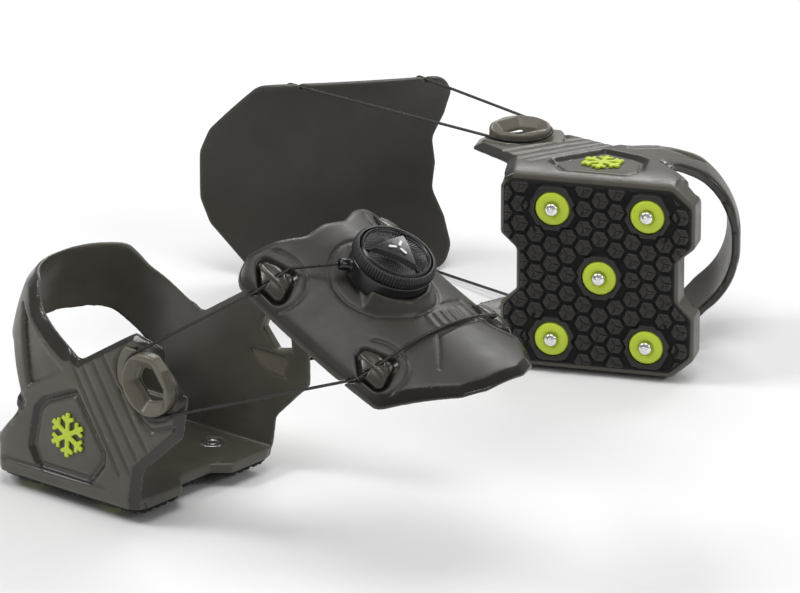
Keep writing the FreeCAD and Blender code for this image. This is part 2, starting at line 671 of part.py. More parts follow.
# ---------------------------------------------------------------- the assembly
def cleat():
    """Every piece of one cleat, by name, in the cleat's frame."""
    span, reel_run, crossing = span_path(), reel_run_path(), crossing_path()
    holes = [tube(path, LACE_HOLE_R) for path in (span, reel_run, crossing)]
    holes += [mirrored(hole) for hole in holes[:2]]
    guide = heel_guide()
    pieces = {
        "heel_cup": heel_cup(guide),
        "tread_pad": tread_pad(),
        "spike_bases": at_each_spike(spike_base()),
        "ice_spikes": at_each_spike(ice_spike()),
        "spike_inserts": at_each_spike(spike_insert()),
        "outer_heel_guide": guide,
        "inner_heel_guide": mirrored(guide),
        "outer_badge": badge(),
        "inner_badge": mirrored(badge()),
        "instep_plate": instep_plate(holes),
    }
    for spot, (u, v) in GUIDE_SPOTS.items():
        post = placed(plate_guide(), guide_frame(u, v))
        for hole in holes[:3]:
            post = post.cut(hole)
        pieces[spot + "_guide_outer"] = post
        pieces[spot + "_guide_inner"] = mirrored(post)
    pieces["reel_housing"] = reel_housing(holes)
    for name, make in (("spool", spool), ("lace_winding", lace_winding), ("drive_disc", drive_disc),
                       ("dial_core", dial_core), ("dial_grip", dial_grip), ("dial_spring", dial_spring),
                       ("dial_screw", dial_screw), ("dial_emblem", dial_emblem)):
        pieces[name] = placed(make(), PLATE_FRAME)
    reel_lace = tube(reel_run, LACE_R)
    pieces["lace_plate_run"] = Part.makeCompound([reel_lace, mirrored(reel_lace), tube(crossing, LACE_R)])
    pieces["lace_span_outer"] = tube(span, LACE_R)
    pieces["lace_span_inner"] = mirrored(pieces["lace_span_outer"])
    return pieces


def box_of(shapes):
    return Part.makeCompound(list(shapes)).optimalBoundingBox(False)


def pair():
    """Both cleats resting on the ground, with the pair's box centred over the origin, and each cleat's place."""
    one = cleat()
    pieces = {}
    places = {}
    for side, place in CLEATS:
        lowest = box_of(placed(shape, place) for shape in one.values()).ZMin
        place = Placement(Vector(0, 0, -lowest), Rotation()) * place
        places[side] = place
        for name, shape in one.items():
            pieces[side + "_" + name] = placed(shape, place)
    box = box_of(pieces.values())
    shift = Placement(Vector(-box.Center.x, -box.Center.y, 0), Rotation())
    pieces = {name: placed(shape, shift) for name, shape in pieces.items()}
    return pieces, {side: shift * place for side, place in places.items()}


os.makedirs("parts", exist_ok=True)
PIECES, PLACES = pair()
for node, solid in PIECES.items():
    solid.exportStep("parts/" + node + ".step")
for side, place in PLACES.items():
    print(side, "cleat's middle spike:", place.Base)
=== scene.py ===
import json
import math

import bmesh
import bpy
import numpy as np
import openvdb
from mathutils import Matrix, Vector

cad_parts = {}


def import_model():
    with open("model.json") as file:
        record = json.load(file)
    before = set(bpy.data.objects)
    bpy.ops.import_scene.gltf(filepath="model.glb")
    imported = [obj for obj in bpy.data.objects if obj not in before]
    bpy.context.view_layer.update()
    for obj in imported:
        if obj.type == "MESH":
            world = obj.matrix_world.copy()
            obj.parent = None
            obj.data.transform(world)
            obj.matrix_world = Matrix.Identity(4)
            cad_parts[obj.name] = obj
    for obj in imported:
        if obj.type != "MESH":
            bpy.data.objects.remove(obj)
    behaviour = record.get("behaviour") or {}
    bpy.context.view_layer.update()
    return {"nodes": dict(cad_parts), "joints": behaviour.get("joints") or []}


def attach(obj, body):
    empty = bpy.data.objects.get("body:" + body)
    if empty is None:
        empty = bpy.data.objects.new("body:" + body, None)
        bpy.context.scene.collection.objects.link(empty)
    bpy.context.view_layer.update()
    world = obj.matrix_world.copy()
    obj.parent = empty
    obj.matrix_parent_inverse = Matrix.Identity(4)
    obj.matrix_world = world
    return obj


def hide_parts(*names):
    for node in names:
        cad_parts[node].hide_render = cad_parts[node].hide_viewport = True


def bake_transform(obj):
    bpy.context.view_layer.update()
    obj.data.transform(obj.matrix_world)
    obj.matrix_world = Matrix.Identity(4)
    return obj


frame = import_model()

# A pair of heel ice cleats with dial lacing. One cleat is modelled once, in its own frame in
# millimetres (+X to the toe, +Z up, x = y = 0 at the middle spike), and stands twice in the
# assembly's frame.
MM = 0.001
HINGE = Vector((46.0, 0.0, 58.0))            # where the plate's swing axis crosses the middle plane
LEFT_TURN = math.radians(205)
JOINTS = {joint["name"]: joint for joint in frame["joints"]}
TURNS = {
    "right": Matrix.Identity(4),
    "left": Matrix.Rotation(LEFT_TURN, 4, "Z") @ Matrix.Rotation(math.radians(90), 4, "X"),
}
PLACES = {
    side: (Matrix.Translation(Vector(JOINTS[side + "_plate_swing"]["pos_m"])) @ turn
           @ Matrix.Translation(-HINGE * MM))
    for side, turn in TURNS.items()
}
PLATE_CENTRE = Vector((127.5, 0.0, 108.0))
PLATE_SLOPE = math.radians(26)
PLATE = Matrix.Translation(PLATE_CENTRE) @ Matrix.Rotation(PLATE_SLOPE, 4, "Y")
UPRIGHT = Matrix.Identity(4)

SPIKES = [(0, 0), (19, 27), (19, -27), (-19, 27), (-19, -27)]
RING_X, RING_Z, RING_R = HINGE.x, HINGE.z, 12.2
LACE_R = 0.6
LACE_Y = -38.6
LACE_WRAP_R = RING_R + LACE_R + 0.1
ARCH_R, HOLLOW_R = 70.0, 420.0
GUIDE_SPOTS = {"rear": (-23.0, -33.0), "front": (30.0, -33.0)}
LACE_HOLE_R = 0.85
TUNNEL_IN, TUNNEL_OUT = (0.8, 6.2, 1.7), (-0.8, -8.2, 0.6)   # ends of the lace's hole in a plate guide
UNTOUCHED = -9.0                             # a profile's value where a face stays as it is


# ---------------------------------------------------------------- materials
class Nodes:
    """Short names for building a material's node tree."""

    def __init__(self, name):
        self.material = bpy.data.materials.new(name)
        self.material.use_nodes = True
        self.tree = self.material.node_tree
        self.shader = self.tree.nodes["Principled BSDF"]
        self.place = self.add("ShaderNodeTexCoord").outputs["Object"]

    def add(self, kind, **values):
        node = self.tree.nodes.new(kind)
        for key, value in values.items():
            setattr(node, key, value)
        return node

    def link(self, source, target):
        self.tree.links.new(source, target)

    def noise(self, scale, detail=4.0, roughness=0.6, stretch=None):
        node = self.add("ShaderNodeTexNoise")
        node.inputs["Scale"].default_value = scale
        node.inputs["Detail"].default_value = detail
        node.inputs["Roughness"].default_value = roughness
        if stretch:
            mapping = self.add("ShaderNodeMapping")
            mapping.inputs["Scale"].default_value = stretch
            self.link(self.place, mapping.inputs["Vector"])
            self.link(mapping.outputs["Vector"], node.inputs["Vector"])
        else:
            self.link(self.place, node.inputs["Vector"])
        return node.outputs["Fac"]

    def ramp(self, source, stops):
        node = self.add("ShaderNodeValToRGB")
        for element, (at, colour) in zip(node.color_ramp.elements, (stops[0], stops[-1])):
            element.position = at
            element.color = (*colour, 1)
        for at, colour in stops[1:-1]:
            node.color_ramp.elements.new(at).color = (*colour, 1)
        self.link(source, node.inputs["Fac"])
        return node.outputs["Color"]

    def remap(self, source, low, high, to_low, to_high):
        node = self.add("ShaderNodeMapRange")
        keys = ("From Min", "From Max", "To Min", "To Max")
        for key, value in zip(keys, (low, high, to_low, to_high)):
            node.inputs[key].default_value = value
        self.link(source, node.inputs["Value"])
        return node.outputs["Result"]

    def mixed(self, factor, first, second):
        node = self.add("ShaderNodeMix", data_type="RGBA")
        self.link(factor, node.inputs["Factor"])
        for socket, value in ((node.inputs[6], first), (node.inputs[7], second)):
            if isinstance(value, tuple):
                socket.default_value = (*value, 1)
            else:
                self.link(value, socket)
        return node.outputs[2]

    def edges(self, low=0.51, high=0.60):
        """1 on sharp outer edges, 0 on flats and in corners."""
        pointiness = self.add("ShaderNodeNewGeometry").outputs["Pointiness"]
        return self.remap(pointiness, low, high, 0.0, 1.0)

    def hollows(self, low=0.40, high=0.485):
        """1 in grooves and inner corners, 0 on flats."""
        pointiness = self.add("ShaderNodeNewGeometry").outputs["Pointiness"]
        return self.remap(pointiness, low, high, 1.0, 0.0)

    def bump(self, source, height_mm, strength=1.0, under=None):
        node = self.add("ShaderNodeBump")
        node.inputs["Distance"].default_value = height_mm * MM
        node.inputs["Strength"].default_value = strength
        self.link(source, node.inputs["Height"])
        if under:
            self.link(under, node.inputs["Normal"])
        return node.outputs["Normal"]

    def finish(self, colour=None, roughness=None, normal=None, **constants):
        for source, key in ((colour, "Base Color"), (roughness, "Roughness"), (normal, "Normal")):
            if source:
                self.link(source, self.shader.inputs[key])
        for key, value in constants.items():
            self.shader.inputs[key.replace("_", " ")].default_value = value
        return self.material


def scaled(colour, factor):
    return tuple(min(1.0, channel * factor) for channel in colour)


# The hollow tone darkens grooves and inner corners: painted shade.
SPECK_TONE, HOLLOW_PAINTED_SHADE = 1.5, 0.22          # tones are factors on a material's colour


def moulded_material(name, colour, roughness, grain_mm, wear=1.5, mottling=0.16, specular=0.5,
                     gloss=0.2, sunk=0.38):
    """A moulded rubber or plastic: fine grain, faint mottling, lighter edges and painted shade darkening
    the hollows.

    Where the mesh's mask attribute is 1, its roughness is gloss and its tone is darkened to sunk, which
    is painted shade.
    """
    n = Nodes(name)
    cloud = n.noise(55, 5)
    tone = n.ramp(cloud, [(0.3, scaled(colour, 1 - mottling)), (0.7, scaled(colour, 1 + mottling))])
    speck = n.remap(n.noise(2600, 2), 0.62, 0.75, 0.0, 0.35)
    tone = n.mixed(speck, tone, scaled(colour, SPECK_TONE))
    worn_and_shaded = n.mixed(n.edges(), tone, scaled(colour, wear))
    # Painted shade: grooves and inner corners are darkened towards the hollow tone.
    worn_and_shaded = n.mixed(n.hollows(), worn_and_shaded, scaled(colour, HOLLOW_PAINTED_SHADE))
    # Painted shade: the masked bevels, rims, recesses and gaps are darkened to sunk, and their roughness
    # is set to gloss.
    painted_shade_and_gloss = n.add("ShaderNodeAttribute", attribute_name="painted_shade_and_gloss").outputs["Fac"]
    worn_and_shaded = n.mixed(painted_shade_and_gloss, worn_and_shaded, scaled(colour, sunk))
    grained = n.remap(n.noise(140, 4), 0.3, 0.7, roughness - 0.05, roughness + 0.07)
    rough = n.mixed(painted_shade_and_gloss, grained, (gloss, gloss, gloss))
    fine = n.bump(n.noise(1900, 3), grain_mm, 0.7)
    normal = n.bump(n.noise(160, 3), grain_mm * 2.5, 0.25, fine)
    return n.finish(worn_and_shaded, rough, normal, Specular_IOR_Level=specular)


def metal_material(name, colour, roughness, grain, stretch):
    """A turned or drawn metal with fine lines along its grain."""
    n = Nodes(name)
    lines = n.noise(grain, 3, 0.7, stretch)
    tone = n.ramp(lines, [(0.3, scaled(colour, 0.82)), (0.7, scaled(colour, 1.08))])
    rough = n.remap(n.noise(400, 3), 0.3, 0.7, roughness - 0.06, roughness + 0.1)
    return n.finish(tone, rough, n.bump(lines, 0.012, 0.6), Metallic=1.0)


CUP_COLOUR = (0.074, 0.067, 0.053)
MATERIALS = {
    "cup_rubber": moulded_material("cup_rubber", CUP_COLOUR, 0.36, 0.03, wear=1.7),
    # Its masked gaps darken to 0.12 of its colour: painted shade.
    "tread_rubber": moulded_material("tread_rubber", (0.0150, 0.0138, 0.0122), 0.38, 0.03,
                                     wear=2.4, mottling=0.2, specular=0.4, gloss=0.8, sunk=0.12),
    "lime_plastic": moulded_material("lime_plastic", (0.50, 0.62, 0.035), 0.38, 0.02,
                                     wear=1.1, mottling=0.06),
    "guide_plastic": moulded_material("guide_plastic", (0.120, 0.106, 0.080), 0.36, 0.02),
    "plate_plastic": moulded_material("plate_plastic", (0.034, 0.031, 0.024), 0.42, 0.025,
                                      wear=1.9, mottling=0.12, specular=0.4),
    "post_plastic": moulded_material("post_plastic", (0.046, 0.042, 0.032), 0.26, 0.012,
                                     wear=1.9, mottling=0.12),
    "reel_plastic": moulded_material("reel_plastic", (0.010, 0.010, 0.010), 0.24, 0.012,
                                     wear=2.2, specular=0.6),
    "dial_plastic": moulded_material("dial_plastic", (0.008, 0.008, 0.008), 0.30, 0.008, wear=3.0),
    "grip_rubber": moulded_material("grip_rubber", (0.013, 0.013, 0.013), 0.42, 0.02, wear=2.2),
    "emblem_plastic": moulded_material("emblem_plastic", (0.74, 0.74, 0.73), 0.45, 0.01,
                                       wear=1.0, mottling=0.04),
    "spike_steel": metal_material("spike_steel", (0.86, 0.86, 0.85), 0.24, 900, (1.0, 1.0, 6.0)),
    "lace_steel": metal_material("lace_steel", (0.055, 0.053, 0.05), 0.30, 1500, (1.0, 1.0, 1.0)),
}


# ---------------------------------------------------------------- pieces from meshes
def mesh_of(name, points, faces, material, smooth=True):
    """A mesh in metres from points in millimetres."""
    mesh = bpy.data.meshes.new(name)
    mesh.from_pydata([tuple(p) for p in np.asarray(points, float) * MM], [], [tuple(f) for f in faces])
    mesh.materials.append(MATERIALS[material])
    mesh.polygons.foreach_set("use_smooth", [smooth] * len(mesh.polygons))
    mesh.update()
    return mesh


def big_mesh_of(name, points, triangles, quads, material, painted_shade_and_gloss=None):
    """As mesh_of, for many faces; the mask function (x, y, z) is 1 where faces get painted shade and a
    set roughness, 0 elsewhere.
    """
    corners = np.concatenate([triangles.ravel(), quads.ravel()]).astype(np.int32)
    totals = np.concatenate([np.full(len(triangles), 3), np.full(len(quads), 4)]).astype(np.int32)
    mesh = bpy.data.meshes.new(name)
    mesh.vertices.add(len(points))
    mesh.vertices.foreach_set("co", (points * MM).astype(np.float32).ravel())
    mesh.loops.add(len(corners))
    mesh.loops.foreach_set("vertex_index", corners)
    mesh.polygons.add(len(totals))
    mesh.polygons.foreach_set("loop_start", np.cumsum(totals) - totals)
    mesh.polygons.foreach_set("loop_total", totals)
    mesh.polygons.foreach_set("use_smooth", np.ones(len(totals), bool))
    mesh.materials.append(MATERIALS[material])
    if painted_shade_and_gloss:
        mask = mesh.attributes.new("painted_shade_and_gloss", "FLOAT", "POINT")
        mask.data.foreach_set("value", painted_shade_and_gloss(*points.astype(float).T).astype(np.float32))
    mesh.validate()
    mesh.update()
    return mesh


def stand(mesh, name, body, replaced, within=UPRIGHT):
    """The mesh as one piece on each cleat, riding on a body.

    within is the mesh's frame in the cleat's, in millimetres.
    """
    frame_m = within.copy()
    frame_m.translation = within.translation * MM
    for side, place in PLACES.items():
        copy = mesh.copy()
        copy.transform(place @ frame_m)
        piece = bpy.data.objects.new(side + "_" + name, copy)
        bpy.context.scene.collection.objects.link(piece)
        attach(piece, side + "_" + body)
        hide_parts(*[side + "_" + node for node in replaced])


# ---------------------------------------------------------------- moulded solids on a distance grid
def outline_distance(corners, a, b):
    """Signed distance in a plane to a closed outline, negative inside."""
    inside = np.zeros(np.broadcast(a, b).shape, bool)
    nearest = np.full(inside.shape, 1e6)
    for (a0, b0), (a1, b1) in zip(corners, corners[1:] + corners[:1]):
        nearest = np.minimum(nearest, run_distance((a0, b0), (a1, b1), a, b))
        if b0 != b1:
            inside ^= ((b0 > b) != (b1 > b)) & (a < (a1 - a0) * (b - b0) / (b1 - b0) + a0)
    return np.where(inside, -nearest, nearest)


def run_distance(start, end, a, b):
    da, db = end[0] - start[0], end[1] - start[1]
    along = np.clip(((a - start[0]) * da + (b - start[1]) * db) / (da * da + db * db), 0, 1)
    return np.hypot(a - start[0] - along * da, b - start[1] - along * db)


def line_distance(points, a, b):
    """Distance in a plane to an open line through points."""
    return np.minimum.reduce([run_distance(p, q, a, b) for p, q in zip(points, points[1:])])


def eased(value, low, high):
    t = np.clip((value - low) / (high - low), 0, 1)
    return t * t * (3 - 2 * t)


class Solid:
    """A CAD node as distances in millimetres on a grid, negative inside, in a frame of the cleat."""

    def __init__(self, node, step, reach, within=UPRIGHT):
        mesh = frame["nodes"]["right_" + node].data
        mesh.calc_loop_triangles()
        points = np.zeros(len(mesh.vertices) * 3, np.float32)
        mesh.vertices.foreach_get("co", points)
        into = within.inverted() @ Matrix.Scale(1 / MM, 4) @ PLACES["right"].inverted()
        into = np.array(into, float)
        points = points.reshape(-1, 3) @ into[:3, :3].T + into[:3, 3]
        triangles = np.zeros(len(mesh.loop_triangles) * 3, np.int32)
        mesh.loop_triangles.foreach_get("vertices", triangles)
        grid = openvdb.FloatGrid.createLevelSetFromPolygons(
            points.astype(np.float32), triangles=triangles.reshape(-1, 3).astype(np.uint32),
            transform=openvdb.createLinearTransform(voxelSize=step), halfWidth=reach / step)
        low, high = (np.array(corner) for corner in grid.evalActiveVoxelBoundingBox())
        margin = 2
        self.low, self.step = low - margin, step
        self.values = np.empty(tuple(high - low + 1 + 2 * margin), np.float32)
        grid.copyToArray(self.values, ijk=tuple(int(k) for k in self.low))
        axes = [(self.low[k] + np.arange(self.values.shape[k])) * step for k in range(3)]
        self.x = axes[0][:, None, None]
        self.y = axes[1][None, :, None]
        self.z = axes[2][None, None, :]

    def soften(self, rounds):
        """Rounds every edge and corner a little, as a mould does."""
        for _ in range(rounds):
            for axis in range(3):
                v = np.moveaxis(self.values, axis, 0)
                v[1:-1] = (v[:-2] + 2 * v[1:-1] + v[2:]) / 4

    def depth_below(self, axis, sign, known=True):
        """How far each point lies past the first face met along an axis.

        Where that isn't known, the face is carried on from its surroundings.
        """
        v = np.moveaxis(self.values, axis, 0)
        place = (self.low[axis] + np.arange(len(v))) * self.step * sign
        if sign < 0:
            v, place = v[::-1], place[::-1]
        inside = v < 0
        first = np.maximum(inside.argmax(axis=0), 1)
        before = np.take_along_axis(v, first[None] - 1, 0)[0]
        after = np.take_along_axis(v, first[None], 0)[0]
        face = place[first - 1] + self.step * before / np.maximum(before - after, 1e-6)
        face = carried_on(face, inside.any(axis=0) & known)
        depth = place[:, None, None] - face[None]
        if sign < 0:
            depth = depth[::-1]
        return np.moveaxis(depth, 0, axis).astype(np.float32)

    def carve(self, depth, profile):
        """Removes what lies less deep under a face than the profile."""
        self.values = np.maximum(self.values, profile - depth).astype(np.float32)

    def heap(self, depth, profile, root=1.0):
        """Adds what lies less high over a face than the profile, where that is above nothing."""
        bump = np.maximum(np.maximum(-depth - profile, depth - root), -10.0 * profile)
        self.values = np.minimum(self.values, bump).astype(np.float32)

    def sampled(self, field, *places):
        """A field's values at places given along its first axes in the grid's frame."""
        at = [np.clip(place / self.step - low, 0, size - 1.001)
              for place, low, size in zip(places, self.low, field.shape)]
        base = [a.astype(int) for a in at]
        total = 0.0
        for corner in np.ndindex(*(2,) * len(at)):
            weight = 1.0
            for a, b, c in zip(at, base, corner):
                weight = weight * ((a - b) if c else (1 - a + b))
            total = total + weight * field[tuple(b + c for b, c in zip(base, corner))]
        return total

    def mesh(self, name, material, adaptivity=0.0, painted_shade_and_gloss=None):
        grid = openvdb.FloatGrid(float(self.values.max()))
        grid.copyFromArray(np.ascontiguousarray(self.values), ijk=tuple(int(k) for k in self.low))
        grid.transform = openvdb.createLinearTransform(voxelSize=self.step)
        points, triangles, quads = grid.convertToPolygons(isovalue=0, adaptivity=adaptivity)
        a, b, c = (points[quads[:, k]].astype(float) for k in range(3))
        if np.einsum("ij,ij->i", a, np.cross(b, c)).sum() < 0:
            triangles, quads = triangles[:, ::-1], quads[:, ::-1]
        return big_mesh_of(name, points, triangles, quads, material, painted_shade_and_gloss)


def carried_on(face, known, rounds=140):
    """A map of a face with its unknown cells filled smoothly from the known ones round them."""
    filled, have = np.where(known, face, 0.0), known.astype(float)
    for _ in range(rounds):
        total, count = np.zeros(face.shape), np.zeros(face.shape)
        for axis in (0, 1):
            for shift in (1, -1):
                total += np.roll(filled * have, shift, axis)
                count += np.roll(have, shift, axis)
        filled = np.where(known, face, np.where(count > 0, total / np.maximum(count, 1), filled))
        have = np.where(known | (count > 0), 1.0, have)
    return np.where(have > 0, filled, -1e3)


def edge_distance(seen, a):
    """Distance in a plane from each cell to the line where a field changes sign.

    a holds the cells' places along the first axis.
    """
    rim = []
    for axis in (0, 1):
        first, second = (np.take(seen, range(k, seen.shape[axis] - 1 + k), axis) for k in (0, 1))
        where = np.argwhere((first < 0) != (second < 0)).astype(float)
        share = first / np.where(first == second, 1, first - second)
        where[:, axis] += share[(first < 0) != (second < 0)]
        rim.append(where)
    rim = np.concatenate(rim)
    cells = np.argwhere(np.ones(seen.shape, bool)).astype(float)
    nearest = np.full(len(cells), 1e9)
    for start in range(0, len(rim), 100):
        gaps = cells[:, None, :] - rim[None, start:start + 100, :]
        nearest = np.minimum(nearest, (gaps * gaps).sum(axis=2).min(axis=1))
    return np.sqrt(nearest).reshape(seen.shape) * float(a[1, 0] - a[0, 0])


# ---------------------------------------------------------------- heel cup
STRAP_TOP = [(-60, 84), (-21, 81), (-15, 72), (2, 61.5)]
VALLEY = [(2, 61.5), (8, 57.5), (34, 74), (48, 71), (62, 56)]
WALL_FRONT = [(62, 56), (60.5, 39.5), (42, 22), (39, 2)]
WINDOW_EDGE = [(-35, 17), (-18, 35), (-32, 53), (-60, 56)]
BEVELS = [(STRAP_TOP, 5.4, 2.5), (VALLEY, 2.6, 1.7), (WALL_FRONT, 4.2, 2.4), (WINDOW_EDGE, 2.0, 1.2)]
TRIANGLE = [(-27, 70), (-15.5, 43), (1, 52.5)]
TRIANGLE_SINK, TRIANGLE_FALL = 0.7, 1.3
PANEL = [(8, 45), (-6, 39), (-10, 35), (-12, 20), (-8, 13), (17, 13), (23, 21), (23, 25)]
PANEL_GROOVE, PANEL_SINK = (2.3, 1.9), 2.1
POCKET_R = 14.2
POCKET_RIM = (1.0, 0.7)
POCKET_BORDER = [(32, 71), (27.5, 63), (28.5, 56.5), (36, 49), (42, 42), (47, 39.5), (57, 43.5)]
BORDER_GROOVE = (1.3, 1.5)
WALL_RIBS = [((5, 58), (32, 19)), ((9.5, 59), (37, 21)), ((14, 62), (40, 27)), ((19, 65), (45, 31))]
RIB_GROOVE = (0.9, 0.95)


def wedge(distance, width, drop):
    """A profile that falls from drop at a line to nothing at width."""
    return drop * (1 - distance / width)


def heel_cup():
    """Rubber cup: bevelled walls, a sunk triangle on the strap, ribs, and a groove round the guide."""
    cup = Solid("heel_cup", 0.5, 2.4)
    x, z = cup.x[:, 0], cup.z[0]
    panel = outline_distance(PANEL, x, z)
    from_ring = np.hypot(x - RING_X, z - RING_Z)
    known = (panel > 1.0) & (from_ring > POCKET_R + 1)
    sides = np.minimum(cup.depth_below(1, 1, known), cup.depth_below(1, -1, known))
    depth = np.minimum(sides, cup.depth_below(0, 1))
    profile = np.full(panel.shape, UNTOUCHED)
    for line, width, drop in BEVELS:
        profile = np.maximum(profile, wedge(line_distance(line, x, z), width, drop))
    triangle = outline_distance(TRIANGLE, x, z)
    rear_side = run_distance(TRIANGLE[0], TRIANGLE[1], x, z)
    sink = TRIANGLE_SINK + TRIANGLE_FALL * (1 - eased(rear_side, 1, 13))
    sunk = np.minimum(sink, sink - triangle * 2.0)
    profile = np.maximum(profile, np.where(triangle < 0.6, sunk, UNTOUCHED))
    for start, end in WALL_RIBS:
        profile = np.maximum(profile, wedge(run_distance(start, end, x, z), *RIB_GROOVE))
    profile = np.maximum(profile, wedge(line_distance(POCKET_BORDER, x, z), *BORDER_GROOVE))
    frame_groove = np.minimum(PANEL_SINK, wedge(panel, *PANEL_GROOVE))
    profile = np.maximum(profile, np.where(panel > -1.2, frame_groove, UNTOUCHED))
    rim = from_ring - POCKET_R
    profile = np.maximum(profile, np.where(rim > -0.5, wedge(rim, *POCKET_RIM), UNTOUCHED))
    cup.carve(depth, profile[:, None, :])
    cup.soften(1)

    # Mask of painted shade. The bevels are darkened in place of the dark reflections they catch, though
    # their lower roughness is real gloss. The panel frame's slope is darkened as shade, and the
    # triangle's rear side as its shadow.
    def painted_shade_and_gloss(px, py, pz):
        mask = np.zeros(len(px))
        for line, width, _ in BEVELS:
            mask = np.maximum(mask, 1 - eased(line_distance(line, px, pz), width - 0.5, width))
        frame_gap = outline_distance(PANEL, px, pz)
        mask = np.maximum(mask, eased(frame_gap, -0.1, 0.2) * (1 - eased(frame_gap, 2.0, 2.4)))
        shaded = 1 - eased(run_distance(TRIANGLE[0], TRIANGLE[1], px, pz), 1.6, 2.2)
        mask = np.maximum(mask, (outline_distance(TRIANGLE, px, pz) < 0) * shaded)
        return mask * (1 - eased(cup.sampled(depth, px, py, pz), 2.5, 2.9))

    return cup.mesh("heel_cup", "cup_rubber", 0.01, painted_shade_and_gloss)


RING_WINDOW = [(-5.5, 6), (-8, 0), (-1.5, -7.5), (6.5, -5.5), (6.5, -1), (1.5, 6)]
RING_OUTER_Y = -41.4


def heel_guide():
    """Hard ring: a funnel round its window and a bevelled outer edge."""
    guide = Solid("outer_heel_guide", 0.28, 1.5)
    x, z = guide.x[:, 0] - RING_X, guide.z[0] - RING_Z
    window = outline_distance(RING_WINDOW, x, z)
    depth = guide.y - RING_OUTER_Y
    outer = RING_R - np.hypot(x, z)
    profile = np.maximum(wedge(window, 3.8, 3.2), wedge(outer, 1.2, 0.8))
    guide.carve(depth, profile[:, None, :])
    guide.soften(2)
    return guide.mesh("heel_guide", "guide_plastic")


def badge():
    star = Solid("outer_badge", 0.15, 0.9)
    star.soften(3)
    return star.mesh("badge", "lime_plastic")


def flipped(mesh):
    """The mesh mirrored across the middle plane."""
    copy = mesh.copy()
    copy.transform(Matrix.Scale(-1, 4, (0, 1, 0)))
    copy.flip_normals()
    return copy


# ---------------------------------------------------------------- tread and studs
LUG_FACE_Z = 3.0
LUG_PITCH_X, LUG_PITCH_Y = 6.45, 7.9
LUG_APOTHEM = 3.33
CREASE_LENGTH = 3.1
CREASE_GROOVE = (0.55, 0.9)
GAP_DEPTH, GAP_SLOPE = 1.2, 4
BOSS_R = 10.3
CHEVRON = [(6.9, -9.9), (12.6, 0.0), (6.9, 9.9)]    # beyond each outer stud, from its middle
CHEVRON_GROOVE = (0.9, 1.2)


def direction(degrees):
    return math.cos(math.radians(degrees)), math.sin(math.radians(degrees))


def tread_pad():
    """Rubber pad: hexagonal lugs, each split into three rhombi, and a raised hexagon round each stud."""
    pad = Solid("tread_pad", 0.3, 1.4)
    x, y = pad.x[:, :, 0], pad.y[:, :, 0]
    creases = np.full(pad.values.shape[:2], 1e6)
    rims = np.full(pad.values.shape[:2], 1e6)
    for column in range(-6, 7):
        shift = LUG_PITCH_Y / 2 if column % 2 else 0.0
        for row in range(-5, 6):
            cx, cy = column * LUG_PITCH_X, row * LUG_PITCH_Y + shift
            if min(math.hypot(cx - sx, cy - sy) for sx, sy in SPIKES) < BOSS_R - 1:
                continue
            spread = np.max([np.abs((x - cx) * dx + (y - cy) * dy)
                             for dx, dy in map(direction, (30, 90, 150))], axis=0)
            rims = np.where(spread < LUG_PITCH_Y / 2, LUG_APOTHEM - spread, rims)
            for dx, dy in map(direction, (60, 180, 300)):
                tip = (cx + CREASE_LENGTH * dx, cy + CREASE_LENGTH * dy)
                creases = np.minimum(creases, run_distance((cx, cy), tip, x, y))
    below = pad.z - LUG_FACE_Z
    pad.carve(below, wedge(creases, *CREASE_GROOVE)[:, :, None])
    pad.carve(below, np.minimum(GAP_DEPTH, (0.3 - rims) * GAP_SLOPE)[:, :, None])
    for sx, sy in SPIKES[1:]:
        toward = math.copysign(1, sx)
        chevron = line_distance([(sx + toward * dx, sy + dy) for dx, dy in CHEVRON], x, y)
        pad.carve(below, wedge(chevron, *CHEVRON_GROOVE)[:, :, None])
    pad.soften(1)

    # Mask of painted shade: the gaps deeper than the lug faces are darkened and made rough.
    def painted_shade_and_gloss(px, py, pz):
        return eased(pz, LUG_FACE_Z + 0.4, LUG_FACE_Z + 0.9)

    return pad.mesh("tread_pad", "tread_rubber", 0.02, painted_shade_and_gloss)


def turned(name, profile, material, sectors=72, spots=((0.0, 0.0),)):
    """Surface of revolution about Z from a closed (radius, z) profile, repeated at spots."""
    points, faces = [], []
    for cx, cy in spots:
        base = len(points)
        for radius, height in profile:
            for k in range(sectors):
                angle = 2 * math.pi * k / sectors
                points.append((cx + radius * math.cos(angle), cy + radius * math.sin(angle), height))
        count = len(profile)
        for i in range(count):
            for k in range(sectors):
                a, b = base + i * sectors, base + (i + 1) % count * sectors
                following = (k + 1) % sectors
                faces.append((a + k, b + k, b + following, a + following))
    mesh = mesh_of(name, points, faces, material)
    merge_centre(mesh)
    return mesh


def merge_centre(mesh):
    """Joins the points that meet on the axis, and turns every face outward."""
    shape = bmesh.new()
    shape.from_mesh(mesh)
    bmesh.ops.remove_doubles(shape, verts=shape.verts, dist=1e-7)
    bmesh.ops.recalc_face_normals(shape, faces=shape.faces)
    shape.to_mesh(mesh)
    shape.free()


def rounded_profile(corners, steps=4):
    """A closed (radius, z) profile with each corner (radius, z, rounding) turned into a short curve."""
    result = []
    count = len(corners)
    for i, (r, z, rounding) in enumerate(corners):
        here = Vector((r, z))
        back = Vector(corners[i - 1][:2]) - here
        ahead = Vector(corners[(i + 1) % count][:2]) - here
        if not rounding:
            result.append((r, z))
            continue
        start = here + back.normalized() * rounding
        end = here + ahead.normalized() * rounding
        for k in range(steps + 1):
            t = k / steps
            p = start * (1 - t) ** 2 + here * 2 * t * (1 - t) + end * t * t
            result.append((p.x, p.y))
    return result


